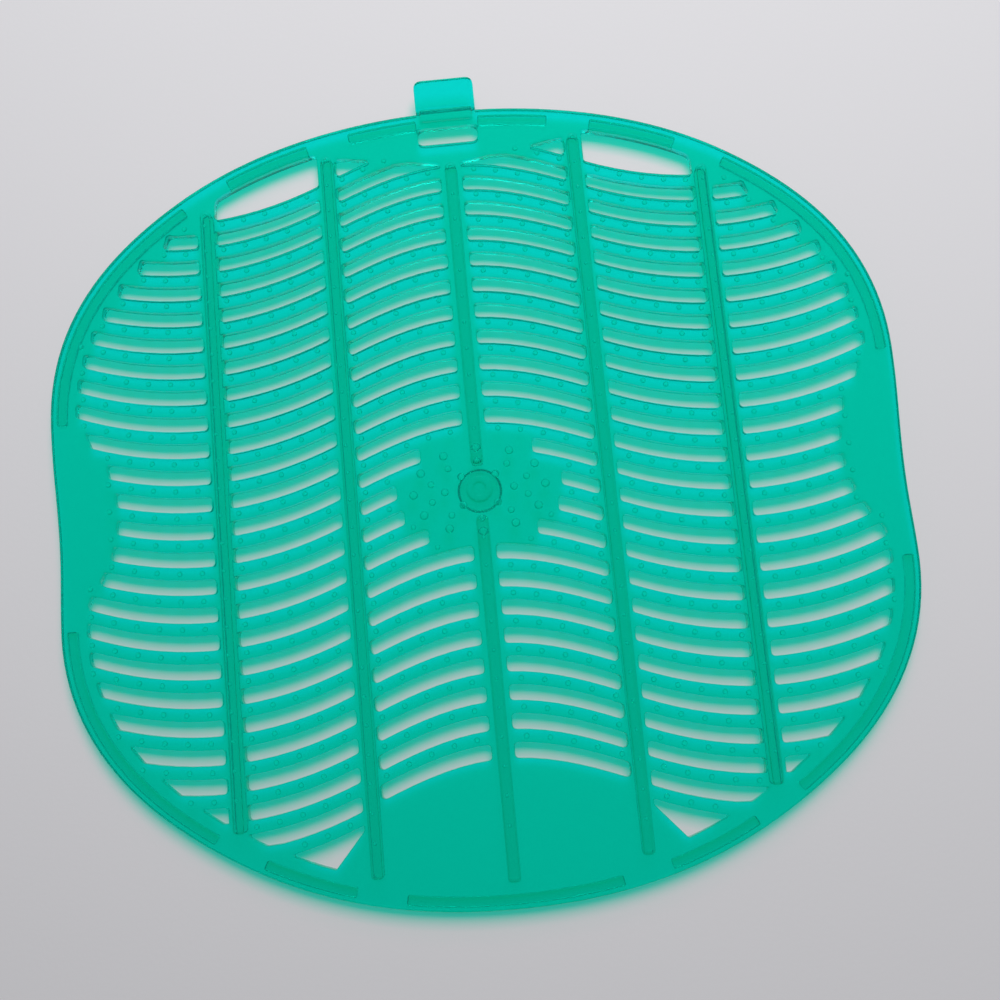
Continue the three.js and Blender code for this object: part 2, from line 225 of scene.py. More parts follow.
class Plan:
    """The mat's plan in millimetres, from its sizes."""

    def __init__(self, sizes):
        for name in sizes.__annotations__:
            setattr(self, name, getattr(sizes, name) / MM)
        self.pitch = self.slot + self.slat
        self.rib_land = self.rib_width + 2 * self.rib_margin
        self.centre_land = self.rib_width + 2 * self.centre_margin
        self.trough = SIDE_RIBS * self.rib_spacing + self.trough_past_rib
        self.window_top = self.head - self.tab_strip
        self.window_bottom = self.window_top - self.window_height
        self.tab_tip = self.head + self.tab_reach
        self.top = self.foot_depth + self.plate
        self.edge = self.half_edge()
        self.field = offset_open(self.edge, self.rim)
        self.lens = offset_open(self.edge, self.lens_land)
        self.row_limit = math.ceil((self.head + self.tail + self.swing) / self.pitch)

    def wave(self, x):
        """Height of the wave at a distance from the middle rib."""

        def crest(d):
            return self.crest - self.swing * (1 - math.cos(math.pi * d / self.trough))

        if x < self.rib_spacing:
            return crest(x)
        fall = (self.rib_spacing - self.trough) ** 2 - (x - self.trough) ** 2
        return crest(self.rib_spacing) - fall / (2 * self.trough_radius)

    def half_edge(self):
        """Right half of the edge, from the middle of the head to the middle of the tail."""
        w, h, t = self.half_width, self.head, self.tail
        knots = [
            ((0, h), (0.259 * w, h), (0.483 * w, 0.9375 * h), (0.651 * w, 0.828 * h)),
            ((0.651 * w, 0.828 * h), (0.861 * w, 0.69 * h), (w, 0.511 * h), (w, 0.246 * h)),
            ((w, 0.246 * h), (w, 0.105 * h), (0.988 * w, 0.034 * t), (0.988 * w, -0.1 * t)),
            (
                (0.988 * w, -0.1 * t),
                (0.988 * w, -0.157 * t),
                (0.9915 * w, -0.212 * t),
                (0.9915 * w, -0.268 * t),
            ),
            (
                (0.9915 * w, -0.268 * t),
                (0.9915 * w, -0.347 * t),
                (0.982 * w, -0.541 * t),
                (0.7765 * w, -0.723 * t),
            ),
            ((0.7765 * w, -0.723 * t), (0.501 * w, -0.961 * t), (0.218 * w, -t), (0, -t)),
        ]
        points = [(0, h)]
        for knot in knots:
            points += bezier(knot, BEZIER_STEPS)[1:]
        return resample(points, EDGE_STEP)

    def field_top(self, x):
        return look_up([p for p in self.field if p[1] > 0], 0, x, 1)

    def field_bottom(self, x):
        return look_up([p for p in self.field if p[1] < 0], 0, x, 1)

    def lens_top(self, x):
        return look_up([p for p in self.lens if p[1] > 0], 0, x, 1)

    def window_line(self, x):
        """Upper limit of the inner columns."""
        start = self.window_bottom - self.window_land
        limit = lerp(start, self.field_top(self.rib_spacing), x / self.rib_spacing)
        return min(limit, self.field_top(x))

    def panel_top(self, x):
        """Lower limit of the inner columns, which follows the wave."""
        row = math.ceil((self.panel - self.tail - self.crest) / self.pitch)
        return max(row * self.pitch + self.wave(x), self.field_bottom(x))

    def brace_line(self, x):
        """Lower limit of the middle columns: the brace beside the panel, then the rim."""
        brace = self.brace_rise - self.tail - BRACE_SLOPE * (x - self.rib_spacing)
        return max(brace, self.field_bottom(x))

    def side_limit(self, y):
        """Outer limit of the outer columns: the rim or the pad."""
        rim = look_up(self.field, 1, y, 0)
        rise = abs(y - self.pad_y)
        if rise >= self.pad_radius:
            return rim
        centre = self.half_width - self.pad_depth + self.pad_radius
        return min(rim, centre - math.sqrt(self.pad_radius**2 - rise**2))

    def in_disc(self, x, y):
        return (x / self.disc_x) ** 2 + ((y - self.disc_place) / self.disc_y) ** 2 < 1

    def low(self, row):
        return lambda x: row * self.pitch + self.wave(x)

    def high(self, row):
        return lambda x: row * self.pitch + self.wave(x) + self.slot

    def columns(self):
        """Start, end, limits and last corner of the two columns between ribs."""
        inner = (
            self.centre_land / 2,
            self.rib_spacing - self.rib_land / 2,
            self.panel_top,
            self.window_line,
            self.slot_corner,
        )
        middle = (
            self.rib_spacing + self.rib_land / 2,
            SIDE_RIBS * self.rib_spacing - self.rib_land / 2,
            self.brace_line,
            self.lens_top,
            self.lens_corner,
        )
        return inner, middle

    def column_openings(self, start, end, bottom, top, corner):
        """Openings of a column between two ribs; its first and last run on to the limits."""
        count = math.ceil((end - start) / SEARCH_STEP)
        xs = [lerp(start, end, i / count) for i in range(count + 1)]
        limits = [(bottom(x), top(x), self.wave(x)) for x in xs]

        def fits(row):
            low = row * self.pitch
            return any(low + w + self.slot <= t and low + w >= b for b, t, w in limits)

        openings = []
        for row in range(-self.row_limit, self.row_limit + 1):
            if not fits(row):
                continue
            first, last = not fits(row - 1), not fits(row + 1)
            low = bottom if first else lambda x, r=row: max(self.low(r)(x), bottom(x))
            high = top if last else lambda x, r=row: min(self.high(r)(x), top(x))
            open_xs = [x for x in xs if high(x) - low(x) >= LEAST_GAP]
            left, right = open_xs[0], open_xs[-1]
            if right - left < LEAST_LENGTH:
                continue
            middle = lambda x: (low(x) + high(x)) / 2
            left = last_passing(right, left, lambda x: not self.in_disc(x, middle(x)))
            edges = trace(low, left, right) + trace(high, right, left)
            edges = edges if not (first and bottom == self.brace_line) else self.brace_corner(edges)
            wide = corner if last else self.slot_corner
            is_wide = lambda p: p[0] == right and p[1] > low(right)
            openings.append(
                round_corners(edges, lambda p: wide if is_wide(p) else self.slot_corner)
            )
        return openings

    def brace_corner(self, edges):
        """Adds the sharp meeting point of the brace and the rim to a traced opening."""
        inside = SIDE_RIBS * self.rib_spacing
        brace = lambda x: self.brace_rise - self.tail - BRACE_SLOPE * (x - self.rib_spacing)
        x = last_passing(self.rib_spacing, inside, lambda v: brace(v) > self.field_bottom(v))
        count = sum(1 for i, p in enumerate(edges) if i < len(edges) // 2 and p[0] < x)
        return edges[:count] + [(x, brace(x))] + edges[count:]

    def outer_openings(self):
        """Openings of the outer column, which end on the rim or the pad."""
        start = SIDE_RIBS * self.rib_spacing + self.rib_land / 2
        openings = []
        for row in range(-self.row_limit, self.row_limit + 1):
            low, high = self.low(row), self.high(row)

            def reach(line):
                return last_passing(start, self.half_width, lambda x: x <= self.side_limit(line(x)))

            end = reach(lambda x: (low(x) + high(x)) / 2)
            if end - start < LEAST_LENGTH:
                continue
            slant = END_SLANT if low(start) > 0 else 1
            low_end = lerp(end, reach(low), slant)
            high_end = lerp(end, reach(high), slant)
            edges = trace(low, start, low_end) + trace(high, high_end, start)
            openings.append(round_corners(edges, lambda p: self.slot_corner))
        return openings

    def window(self):
        half = self.window_width / 2
        return rounded_rectangle(
            -half, self.window_bottom, half, self.window_top, self.window_corner
        )

    def openings(self):
        """Every opening of the plate, each a closed line that turns left."""
        right = [o for column in self.columns() for o in self.column_openings(*column)]
        right += self.outer_openings()
        return [self.window()] + right + [mirrored(o) for o in right]

    def outline(self):
        """The edge with the pull tab, turning left from the middle of the head."""
        half = self.tab_width / 2
        shoulder = look_up(self.edge, 0, half, 1)
        heights = [self.tab_tip, self.tab_tip - self.tab_corner * 1.5, *self.bends()[::-1], shoulder]
        side = [(0, self.tab_tip)] + [(half, y) for y in heights]
        rest = [p for p in self.edge if p[0] > half + 0.5 * EDGE_STEP or p[1] < 0][:-1]
        right = round_open(side + rest, self.tab_corner)
        return [(-x, y) for x, y in right[1:]] + [(0, -self.tail)] + right[::-1]

    @property
    def blade_start(self):
        return self.head + BLADE_GAP

    def bends(self):
        """Places where the blade bends up behind the rim."""
        return [self.blade_start + i * BLADE_STEP for i in range(BLADE_STEPS + 1)]

    def rib_lines(self):
        """x, tail end and head end of every rib."""
        lines = []
        for i in range(-SIDE_RIBS, SIDE_RIBS + 1):
            x = i * self.rib_spacing
            tail = self.field_bottom(abs(x))
            if i:
                lines.append((x, tail, self.field_top(abs(x))))
                continue
            gap = self.boss_foot + self.boss_gap
            lines.append((x, tail, self.disc_place - gap))
            lines.append((x, self.disc_place + gap, self.window_line(0)))
        return lines

    def rib(self, x, tail, head):
        """Plan of a rib: a round head end and a square tail end."""
        half = self.rib_width / 2
        arc = [math.pi * i / RIB_END_STEPS for i in range(RIB_END_STEPS + 1)]
        end = [(x + half * math.cos(a), head - half + half * math.sin(a)) for a in arc]
        ring = [(x - half, tail), (x + half, tail), *end]
        return round_corners(ring, lambda p: half * RIB_CORNER_SHARE if p[1] == tail else 0)

    def inset_point(self, share, distance):
        """A point inside the edge, at a share of the half edge."""
        place = share * (len(self.edge) - 1)
        inside = offset_open(self.edge, distance)
        i = min(int(place), len(inside) - 2)
        return mix(inside[i], inside[i + 1], place - i)

    def feet(self):
        """Plans of the feet under the rim."""
        right = [self.foot(a, b) for a, b in FOOT_SHARES]
        tail = self.foot(TAIL_FOOT_SHARE, 1, whole=True)
        return right + [mirrored(f) for f in right] + [tail]

    def foot(self, start, end, whole=False):
        """Plan of a foot between two shares of the half edge; a whole one runs on to the other half."""
        steps = max(3, math.ceil((end - start) * len(self.edge) * EDGE_STEP / FOOT_STEP))
        shares = [lerp(start, end, i / steps) for i in range(steps + 1)]
        outer = [self.inset_point(s, self.foot_inset) for s in shares]
        inner = [self.inset_point(s, self.foot_inset + self.foot_width) for s in shares]
        if whole:
            outer += [(-x, y) for x, y in outer[-2::-1]]
            inner += [(-x, y) for x, y in inner[-2::-1]]
        return round_corners(inner + outer[::-1], lambda p: self.foot_width * FOOT_CORNER_SHARE)

    def tab_root(self):
        """Plan of the raised root between the window and the blade."""
        half = self.tab_width / 2 - ROOT_INSET
        start = self.window_top + ROOT_SETBACK
        return rounded_rectangle(-half, start, half, self.head + ROOT_OVERLAP, ROOT_CORNER)

    def slat_pips(self, pitch, start):
        """Middles of the pips on the slats, both sides."""
        points = []
        columns = [(a, b, bottom, top) for a, b, bottom, top, _ in self.columns()]
        outer = SIDE_RIBS * self.rib_spacing + self.rib_land / 2
        for row in range(-self.row_limit, self.row_limit + 1):
            line = lambda x: row * self.pitch + self.wave(x) - self.slat / 2
            for a, b, bottom, top in columns:
                x = a + start
                while x < b:
                    y = line(x)
                    if bottom(x) + SLAT_PIP_MARGIN < y < top(x) and not self.in_disc(x, y):
                        points.append((x, y))
                    x += pitch
            x = outer + start
            while x < self.half_width:
                y = line(x)
                if x < self.side_limit(y) + SLAT_PIP_OVERRUN:
                    points.append((x, y))
                x += pitch
        grown = [offset_closed(opening, OPENING_CLEARANCE) for opening in self.openings()]
        points = [p for p in points if not any(is_inside(line, *p) for line in grown)]
        return points + [(-x, y) for x, y in points]

    def rib_pips(self):
        """One pip on each rib beside every slat, and one at the rib's head end."""
        points = []
        for x, tail, head in self.rib_lines():
            points.append((x, head - self.rib_width / 2))
            for row in range(-self.row_limit, self.row_limit + 1):
                y = row * self.pitch + self.wave(abs(x)) - self.slat / 2
                if tail + RIB_PIP_MARGIN < y < head - self.rib_width:
                    points.append((x, y))
        return points

    def disc_pips(self):
        """Three oval rings of pips round the boss, as middle and share of the largest size."""
        points = []
        for wide, high, count, turn, size in DISC_PIP_RINGS:
            for i in range(count):
                angle = math.radians(turn) + 2 * math.pi * i / count
                place = self.disc_place + high * math.sin(angle)
                points.append((wide * math.cos(angle), place, size))
        return points


def lerp(a, b, share):
    return a + (b - a) * share


def mix(p, q, share):
    return (lerp(p[0], q[0], share), lerp(p[1], q[1], share))


def mirrored(points):
    return [(-x, y) for x, y in reversed(points)]


def bezier(knot, steps):
    """Points of a cubic curve."""
    points = []
    for i in range(steps + 1):
        t = i / steps
        weights = ((1 - t) ** 3, 3 * (1 - t) ** 2 * t, 3 * (1 - t) * t * t, t**3)
        points.append(tuple(sum(w * p[k] for w, p in zip(weights, knot)) for k in (0, 1)))
    return points


def resample(points, step):
    """The same line with points at equal distances."""
    run = [0]
    for a, b in zip(points, points[1:]):
        run.append(run[-1] + math.dist(a, b))
    count = round(run[-1] / step)
    result = []
    k = 0
    for i in range(count + 1):
        target = run[-1] * i / count
        while k < len(points) - 2 and run[k + 1] < target:
            k += 1
        share = (target - run[k]) / (run[k + 1] - run[k])
        result.append(mix(points[k], points[k + 1], min(share, 1)))
    return result


def offset_open(points, distance):
    """A line beside an open line that runs clockwise, further in by a distance."""
    result = []
    last = len(points) - 1
    for i, p in enumerate(points):
        a, b = points[max(i - 1, 0)], points[min(i + 1, last)]
        dx, dy = b[0] - a[0], b[1] - a[1]
        if i in (0, last):
            dy = 0
        size = math.hypot(dx, dy)
        result.append((p[0] + dy / size * distance, p[1] - dx / size * distance))
    return result


def offset_closed(points, distance):
    """A closed line that turns left, grown outwards by a distance, or shrunk by a negative one."""
    result = []
    count = len(points)
    for i, p in enumerate(points):
        a, b = points[i - 1], points[(i + 1) % count]
        before = math.atan2(p[1] - a[1], p[0] - a[0])
        after = math.atan2(b[1] - p[1], b[0] - p[0])
        turn = (after - before + math.pi) % (2 * math.pi) - math.pi
        middle = before + turn / 2 - math.pi / 2
        reach = distance / max(math.cos(turn / 2), 0.5)
        result.append((p[0] + math.cos(middle) * reach, p[1] + math.sin(middle) * reach))
    return result


def look_up(line, known, value, wanted):
    """One coordinate of a line where the other passes a value, or its nearest end."""
    for a, b in zip(line, line[1:]):
        if (a[known] - value) * (b[known] - value) <= 0 and a[known] != b[known]:
            return lerp(a[wanted], b[wanted], (value - a[known]) / (b[known] - a[known]))
    nearest = min(line, key=lambda p: abs(p[known] - value))
    return nearest[wanted]


def is_inside(line, x, y):
    """True if a point lies inside a closed line."""
    inside = False
    for a, b in zip(line, line[1:] + line[:1]):
        if (a[1] > y) != (b[1] > y) and x < lerp(a[0], b[0], (y - a[1]) / (b[1] - a[1])):
            inside = not inside
    return inside


def last_passing(start, end, test):
    """The last place that passes on the way from one that does to one that may not."""
    if test(end):
        return end
    for _ in range(BISECTIONS):
        middle = (start + end) / 2
        if test(middle):
            start = middle
        else:
            end = middle
    return start


def trace(line, start, end):
    """Points along a line given as a function."""
    steps = max(2, round(abs(end - start) / SLOT_STEP))
    xs = [lerp(start, end, i / steps) for i in range(steps + 1)]
    return [(x, line(x)) for x in xs]


def fillet(before, corner, after, radius, most):
    """Points that round one corner, or the corner itself where the line hardly turns.

    The rounding takes up no more than a share of the shorter side.
    """
    a = (before[0] - corner[0], before[1] - corner[1])
    b = (after[0] - corner[0], after[1] - corner[1])
    la, lb = math.hypot(*a), math.hypot(*b)
    cosine = max(-1, min(1, (a[0] * b[0] + a[1] * b[1]) / (la * lb)))
    turn = math.pi - math.acos(cosine)
    if turn < CORNER_TURN or not radius:
        return [corner]
    reach = min(radius * math.tan(turn / 2), most * min(la, lb))
    start = (corner[0] + a[0] / la * reach, corner[1] + a[1] / la * reach)
    end = (corner[0] + b[0] / lb * reach, corner[1] + b[1] / lb * reach)
    points = []
    for i in range(CORNER_STEPS + 1):
        t = i / CORNER_STEPS
        points.append(mix(mix(start, corner, t), mix(corner, end, t), t))
    return points


def round_corners(points, radius_at):
    """A closed line with its sharp corners rounded."""
    count = len(points)
    result = []
    for i, p in enumerate(points):
        after = points[(i + 1) % count]
        result += fillet(points[i - 1], p, after, radius_at(p), CLOSED_REACH)
    return result


def round_open(points, radius):
    """An open line with its sharp corners rounded."""
    result = [points[0]]
    for a, p, b in zip(points, points[1:], points[2:]):
        result += fillet(a, p, b, radius, OPEN_REACH)
    return result + [points[-1]]


def rounded_rectangle(left, bottom, right, top, radius):
    corners = [(left, bottom), (right, bottom), (right, top), (left, top)]
    return round_corners(corners, lambda p: radius)


def circle(y, radius, steps=ROUND_STEPS):
    angles = [2 * math.pi * i / steps for i in range(steps)]
    return [(radius * math.cos(a), y + radius * math.sin(a)) for a in angles]


class Skin:
    """A closed skin made of level faces and the walls between them, in millimetres."""

    def __init__(self):
        self.points = []
        self.walls = []
        self.levels = []

    def ring(self, line, z):
        start = len(self.points)
        self.points += [(x, y, z) for x, y in line]
        return list(range(start, len(self.points)))

    def wall(self, line, profile):
        """Walls along a closed line, through offsets and heights. Returns the first and last ring."""
        rings = [self.ring(offset_closed(line, out), z) for out, z in profile]
        count = len(line)
        for a, b in zip(rings, rings[1:]):
            for i in range(count):
                j = (i + 1) % count
                self.walls.append((a[i], b[i], b[j], a[j]))
        return rings[0], rings[-1]

    def level(self, outer, holes=(), inner=()):
        """A level face inside a ring, less its holes. Inner points let it bend."""
        loops = [outer, *holes]
        ids = [i for loop in loops for i in loop] + list(inner)
        place = {v: k for k, v in enumerate(ids)}
        flat = [Vector(self.points[i][:2]) for i in ids]
        areas = [[place[i] for i in loop] for loop in loops]
        result = delaunay_2d_cdt(flat, [], areas, 1, 1e-6, True)
        for face, inside in zip(result[2], result[5]):
            if list(inside) == [0]:
                self.levels.append(tuple(ids[result[3][v][0]] for v in face))

    def mesh(self, name, shift):
        """The skin as a Blender mesh in metres."""
        mesh = bpy.data.meshes.new(name)
        points = [(x * MM, (y + shift) * MM, z * MM) for x, y, z in self.points]
        mesh.from_pydata(points, [], self.walls + self.levels)
        mesh.polygons.foreach_set("use_smooth", [True] * len(mesh.polygons))
        shell = bmesh.new()
        shell.from_mesh(mesh)
        bmesh.ops.recalc_face_normals(shell, faces=shell.faces)
        if shell.calc_volume(signed=True) < 0:
            bmesh.ops.reverse_faces(shell, faces=shell.faces)
        shell.to_mesh(mesh)
        shell.free()
        return mesh


def quarter():
    """Shares that are still to go sideways and upwards along a quarter turn."""
    return [(1 - math.sin(math.radians(a)), 1 - math.cos(math.radians(a))) for a in ARC]


def rounded_edge(radius, top, bottom, side):
    """Profile of a plate edge from its upper to its lower face; side is -1 outside, 1 in an opening."""
    upper = [(side * radius * s, top - radius * c) for s, c in quarter()]
    lower = [(out, bottom + top - z) for out, z in reversed(upper)]
    return upper + lower


def raised(base, crown, round_off, foot):
    """Profile of a form that stands on a face: a small fillet, a wall and a rounded shoulder."""
    way = 1 if crown > base else -1
    rise = [(foot * s, base + way * foot * c) for s, c in quarter()]
    shoulder = [(-round_off * c, crown - way * round_off * s) for s, c in quarter()]
    return rise + shoulder


def mat_skin(plan):
    """The whole mat as one closed skin."""
    skin = Skin()
    top, bottom = plan.top, plan.foot_depth
    edge = rounded_edge(plan.edge_round, top, bottom, -1)
    outer_top, outer_bottom = skin.wall(plan.outline(), edge)
    upper_holes, lower_holes = [], []
    for opening in plan.openings():
        above, below = skin.wall(opening, rounded_edge(plan.edge_round, top, bottom, 1))
        upper_holes.append(above)
        lower_holes.append(below)

    def stand(line, base, crown, round_off, holes, foot=RISE_FILLET):
        """Walls of a form that stands on a face, which gets a hole for it. Returns its crown's ring."""
        first, last = skin.wall(line, raised(base, crown, round_off, foot))
        holes.append(first)
        return last

    for rib in plan.rib_lines():
        line = plan.rib(*rib)
        skin.level(stand(line, top, top + plan.rib_rise, RIB_SHOULDER, upper_holes))
        skin.level(stand(line, bottom, 0, RIB_SHOULDER, lower_holes))
    for foot in plan.feet():
        skin.level(stand(foot, bottom, 0, FOOT_SHOULDER, lower_holes, FOOT_FILLET))
    skin.level(stand(plan.tab_root(), top, top + plan.tab_root_rise, RIB_SHOULDER, upper_holes))
    boss_foot = circle(plan.disc_place, plan.boss_foot)
    skin.level(stand(boss_foot, bottom, 0, BOSS_FOOT_SHOULDER, lower_holes, BOSS_FOOT_FILLET))
    crown = top + plan.boss_rise
    rim = stand(circle(plan.disc_place, plan.boss), top, crown, BOSS_SHOULDER, upper_holes)
    hollow = [
        (HOLLOW_ROUND, crown),
        (HOLLOW_BEVEL, crown - HOLLOW_BEVEL),
        (0, crown - HOLLOW_ROUND),
        (0, crown - HOLLOW_DEPTH),
    ]
    lip, floor = skin.wall(circle(plan.disc_place, plan.boss_hollow), hollow)
    skin.level(rim, [lip])
    skin.level(floor)

    # inner points let the blade's faces bend
    half = plan.tab_width / 2 - 1
    rows = plan.bends() + [plan.blade_start + 2.5]
    grid = [(half * i / 3, y) for y in rows for i in range(-3, 4)]
    skin.level(outer_top, upper_holes, skin.ring(grid, top))
    skin.level(outer_bottom, lower_holes, skin.ring(grid, bottom))
    bend_blade(skin, plan)
    return skin


def bend_blade(skin, plan):
    """Thins the tab beyond the rim and lifts it towards its tip."""
    start = plan.blade_start
    slope = (plan.tab_tip_rise - plan.tab_neck_rise) / (plan.tab_tip - start - BLADE_RUN)
    for i, (x, y, z) in enumerate(skin.points):
        if y <= start:
            continue
        share = min((y - start) / BLADE_RUN, 1)
        share = share * share * (3 - 2 * share)
        rise = plan.tab_neck_rise + slope * max(y - start - BLADE_RUN, 0)
        blade_top = plan.top + rise
        level = (plan.top - z) / plan.plate
        skin.points[i] = (x, y, lerp(z, blade_top - level * plan.tab_thickness, share))


def shader_node(tree, kind, settings=(), **links):
    """Adds a node, sets its values and links its inputs. Keys are input names with _ for a space."""
    node = tree.nodes.new(kind)
    for key, value in dict(settings).items():
        if isinstance(key, int) or key in node.inputs:
            node.inputs[key].default_value = value
        else:
            setattr(node, key, value)
    for key, source in links.items():
        name = key.replace("_", " ")
        tree.links.new(source, node.inputs[int(key[1:]) if key[1:].isdigit() else name])
    return node


def new_material(name):
    material = bpy.data.materials.new(name)
    material.use_nodes = True
    material.node_tree.nodes.clear()
    return material, material.node_tree


def clear_plastic(finish):
    """Clear tinted ethylene vinyl acetate, injection moulded: soft, glossy and see-through, it takes
    nearly all red and gets darker where it is thicker."""
    material, tree = new_material("clear_tinted_eva")
    place = shader_node(tree, "ShaderNodeTexCoord").outputs["Object"]
    # flow marks a few centimetres long make the gloss uneven
    flow = shader_node(tree, "ShaderNodeTexNoise", {"Scale": 55, "Detail": 3}, Vector=place)
    gloss = shader_node(
        tree, "ShaderNodeMapRange", {"To Min": 0.12, "To Max": 0.24}, Value=flow.outputs[0]
    )
    # the soft skin's faint ripple, a few millimetres long
    ripple = shader_node(tree, "ShaderNodeTexNoise", {"Scale": 350, "Detail": 1}, Vector=place)
    bump = shader_node(
        tree, "ShaderNodeBump", {"Strength": 0.05, "Distance": 0.0001}, Height=ripple.outputs[0]
    )
    plastic = shader_node(
        tree,
        "ShaderNodeBsdfPrincipled",
        {
            "Base Color": (*finish.plastic, 1),
            "IOR": 1.32,
            "Transmission Weight": 0.88,
            "Specular Tint": (0, 1, 0.9, 1),
        },
        Roughness=gloss.outputs[0],
        Normal=bump.outputs[0],
    )
    # lamps reach the paper straight through the plastic, tinted by each face that they cross
    tint = tuple(math.sqrt(c) for c in finish.cast)
    lamp_side = shader_node(tree, "ShaderNodeBsdfTransparent", {"Color": (*tint, 1)})
    path = shader_node(tree, "ShaderNodeLightPath")
    unseen = shader_node(
        tree,
        "ShaderNodeMath",
        {"operation": "MAXIMUM"},
        _0=path.outputs["Is Shadow Ray"],
        _1=path.outputs["Is Diffuse Ray"],
    )
    surface = shader_node(
        tree,
        "ShaderNodeMixShader",
        _0=unseen.outputs[0],
        _1=plastic.outputs[0],
        _2=lamp_side.outputs[0],
    )
    bulk = shader_node(
        tree, "ShaderNodeVolumeAbsorption", {"Color": (*finish.bulk, 1), "Density": 1000}
    )
    shader_node(
        tree, "ShaderNodeOutputMaterial", Surface=surface.outputs[0], Volume=bulk.outputs[0]
    )
    return material


def plain_paper(finish):
    """Uncoated office paper: matt, with a faint cloudy fibre structure."""
    material, tree = new_material("uncoated_paper")
    place = shader_node(tree, "ShaderNodeTexCoord").outputs["Object"]
    fibre = shader_node(tree, "ShaderNodeTexNoise", {"Scale": 900, "Detail": 4}, Vector=place)
    bump = shader_node(
        tree, "ShaderNodeBump", {"Strength": 0.08, "Distance": 0.0002}, Height=fibre.outputs[0]
    )
    paper = shader_node(
        tree,
        "ShaderNodeBsdfPrincipled",
        {"Base Color": (*finish.paper, 1), "Roughness": 0.9, "Specular IOR Level": 0.2},
        Normal=bump.outputs[0],
    )
    shader_node(tree, "ShaderNodeOutputMaterial", Surface=paper.outputs[0])
    return material


def new_object(name, mesh, material):
    piece = bpy.data.objects.new(name, mesh)
    bpy.context.scene.collection.objects.link(piece)
    if not mesh.materials:
        mesh.materials.append(material)
    return piece


def apply_modifiers(piece, context):
    """Turns what the modifiers give into the piece's own mesh."""
    evaluated = piece.evaluated_get(context.evaluated_depsgraph_get())
    finished = bpy.data.meshes.new_from_object(evaluated)
    piece.modifiers.clear()
    piece.data = finished


def row_shift(plan):
    """From the row origin to the middle of the box, towards the head."""
    return (plan.tail - plan.tab_tip) / 2


class BuildMat(bpy.types.Operator):
    """Builds the slotted, ribbed mat with its feet, boss and pull tab as one closed skin"""

    bl_idname = "screen.build_mat"
    bl_label = "Moulded mat"

    def execute(self, context):
        plan = Plan(context.scene.mat_sizes)
        mesh = mat_skin(plan).mesh("moulded_mat", row_shift(plan))
        mat = new_object("moulded_mat", mesh, clear_plastic(context.scene.screen_finish))
        # large faces rule the normals, so that only the rounded edges look round
        mat.modifiers.new("Flat faces", "WEIGHTED_NORMAL").weight = 100
        apply_modifiers(mat, context)
        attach(mat, "root")
        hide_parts("screen_mat")
        return {"FINISHED"}


def pip_tree(material):
    """Geometry Nodes that set a low dome on every point, as wide as the point's own size."""
    tree = bpy.data.node_groups.new("pips_on_points", "GeometryNodeTree")
    face = tree.interface
    face.new_socket("Geometry", in_out="OUTPUT", socket_type="NodeSocketGeometry")
    face.new_socket("Points", in_out="INPUT", socket_type="NodeSocketGeometry")
    face.new_socket("Height Share", in_out="INPUT", socket_type="NodeSocketFloat")
    given = shader_node(tree, "NodeGroupInput")
    size = shader_node(tree, "GeometryNodeInputNamedAttribute", {"data_type": "FLOAT", "Name": "size"})
    ball = shader_node(tree, "GeometryNodeMeshUVSphere", {"Segments": 10, "Rings": 6, "Radius": 0.5})
    flat = shader_node(tree, "ShaderNodeCombineXYZ", {"X": 1, "Y": 1}, Z=given.outputs["Height Share"])
    scale = shader_node(
        tree, "ShaderNodeVectorMath", {"operation": "SCALE"}, Vector=flat.outputs[0], Scale=size.outputs[0]
    )
    domes = shader_node(
        tree,
        "GeometryNodeInstanceOnPoints",
        Points=given.outputs["Points"],
        Instance=ball.outputs[0],
        Scale=scale.outputs[0],
    )
    real = shader_node(tree, "GeometryNodeRealizeInstances", Geometry=domes.outputs[0])
    smooth = shader_node(tree, "GeometryNodeSetShadeSmooth", Geometry=real.outputs[0])
    dressed = shader_node(
        tree, "GeometryNodeSetMaterial", {"Material": material}, Geometry=smooth.outputs[0]
    )
    shader_node(tree, "NodeGroupOutput", Geometry=dressed.outputs[0])
    return tree


class BuildPips(bpy.types.Operator):
    """Builds the rows of pips on the slats, the ribs and the disc"""

    bl_idname = "screen.build_pips"
    bl_label = "Pips"

    def execute(self, context):
        plan = Plan(context.scene.mat_sizes)
        pips = context.scene.pip_sizes
        rib_top = plan.top + plan.rib_rise
        spots = [
            (x, y, plan.top, pips.slat_pip)
            for x, y in plan.slat_pips(pips.pip_pitch / MM, pips.pip_start / MM)
        ]
        spots += [(x, y, rib_top, pips.rib_pip) for x, y in plan.rib_pips()]
        spots += [(x, y, plan.top, pips.disc_pip * share) for x, y, share in plan.disc_pips()]
        shift = row_shift(plan)
        host = bpy.data.meshes.new("pip_places")
        host.from_pydata([(x * MM, (y + shift) * MM, z * MM) for x, y, z, _ in spots], [], [])
        sizes = host.attributes.new("size", "FLOAT", "POINT")
        sizes.data.foreach_set("value", [spot[3] for spot in spots])
        material = bpy.data.materials["clear_tinted_eva"]
        piece = new_object("pips", host, material)
        nodes = piece.modifiers.new("Pips", "NODES")
        nodes.node_group = pip_tree(material)
        for socket in nodes.node_group.interface.items_tree:
            if socket.name == "Height Share":
                nodes[socket.identifier] = pips.pip_share * 2
        apply_modifiers(piece, context)
        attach(piece, "root")
        return {"FINISHED"}


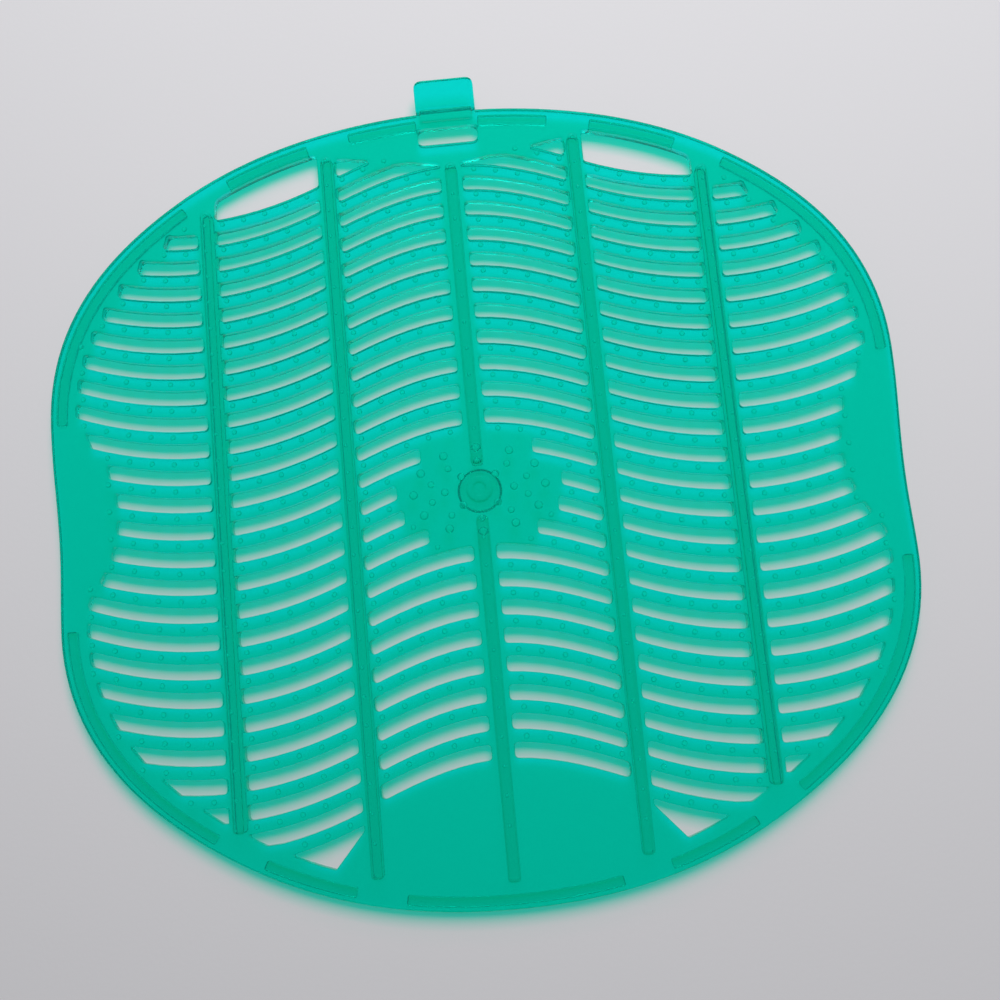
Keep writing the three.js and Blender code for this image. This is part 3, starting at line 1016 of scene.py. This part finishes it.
class BuildStage(bpy.types.Operator):
    """Lays the paper, and sets the camera, the window light and the sky"""

    bl_idname = "screen.build_stage"
    bl_label = "Paper, light and camera"

    def execute(self, context):
        scene = context.scene
        finish = scene.screen_finish
        mesh = bpy.data.meshes.new("paper")
        signs = [(-1, -1), (1, -1), (1, 1), (-1, 1)]
        corners = [(x * PAPER_REACH, y * PAPER_REACH, -PAPER_GAP) for x, y in signs]
        mesh.from_pydata(corners, [], [(0, 1, 2, 3)])
        new_object("paper", mesh, plain_paper(finish))
        self.camera(scene)
        self.light(scene, finish)
        return {"FINISHED"}

    def camera(self, scene):
        data = bpy.data.cameras.new("camera")
        data.sensor_width = 36
        data.lens = 43.2
        data.clip_start = 0.01
        camera = bpy.data.objects.new("camera", data)
        turn = Vector(CAMERA_TURN)
        place = Matrix.Translation(CAMERA_PLACE)
        camera.matrix_world = place @ Matrix.Rotation(turn.length, 4, turn.normalized())
        scene.collection.objects.link(camera)
        scene.camera = camera

    def light(self, scene, finish):
        world = bpy.data.worlds.new("sky")
        world.use_nodes = True
        tree = world.node_tree
        tree.nodes.clear()
        # far beyond the paper the eye meets a pale backdrop, which gives no light
        sky = shader_node(
            tree, "ShaderNodeBackground", {"Color": (*finish.sky, 1), "Strength": 0.07}
        )
        backdrop = shader_node(
            tree, "ShaderNodeBackground", {"Color": (*finish.paper, 1), "Strength": 0.8}
        )
        path = shader_node(tree, "ShaderNodeLightPath")
        seen = shader_node(
            tree,
            "ShaderNodeMixShader",
            _0=path.outputs["Is Camera Ray"],
            _1=sky.outputs[0],
            _2=backdrop.outputs[0],
        )
        shader_node(tree, "ShaderNodeOutputWorld", Surface=seen.outputs[0])
        scene.world = world
        # the flat faces show no mirrored window, while the glint from further down lights the edges
        window = self.lamp(scene, "window", WINDOW_PLACE, 0.41, 4.75)
        window.visible_glossy = False
        window.visible_transmission = False
        self.lamp(scene, "glint", GLINT_PLACE, 0.25, 0.5)
        scene.view_settings.view_transform = "Standard"

    def lamp(self, scene, name, place, size, power):
        """A square lamp that faces the mat."""
        data = bpy.data.lights.new(name, "AREA")
        data.size = size
        data.energy = power
        lamp = bpy.data.objects.new(name, data)
        turn = Vector(place).to_track_quat("Z", "Y").to_matrix().to_4x4()
        lamp.matrix_world = Matrix.Translation(place) @ turn
        scene.collection.objects.link(lamp)
        return lamp


class ScreenPanel(bpy.types.Panel):
    """Lists the screen's pieces"""

    bl_idname = "VIEW3D_PT_screen"
    bl_label = "Deodorizer screen"
    bl_space_type = "VIEW_3D"
    bl_region_type = "UI"
    bl_category = "Screen"

    def draw(self, context):
        for operator in OPERATORS:
            self.layout.operator(operator.bl_idname)
        for group in (context.scene.mat_sizes, context.scene.pip_sizes, context.scene.screen_finish):
            box = self.layout.box()
            for name in group.__annotations__:
                box.prop(group, name)


OPERATORS = (BuildMat, BuildPips, BuildStage)
CLASSES = (MatSizes, PipSizes, Finish, *OPERATORS, ScreenPanel)


def register():
    for item in CLASSES:
        bpy.utils.register_class(item)
    bpy.types.Scene.mat_sizes = bpy.props.PointerProperty(type=MatSizes)
    bpy.types.Scene.pip_sizes = bpy.props.PointerProperty(type=PipSizes)
    bpy.types.Scene.screen_finish = bpy.props.PointerProperty(type=Finish)


def unregister():
    del bpy.types.Scene.screen_finish
    del bpy.types.Scene.pip_sizes
    del bpy.types.Scene.mat_sizes
    for item in reversed(CLASSES):
        bpy.utils.unregister_class(item)


def main():
    register()
    bpy.ops.screen.build_mat()
    bpy.ops.screen.build_pips()
    bpy.ops.screen.build_stage()


if __name__ == "__main__":
    main()
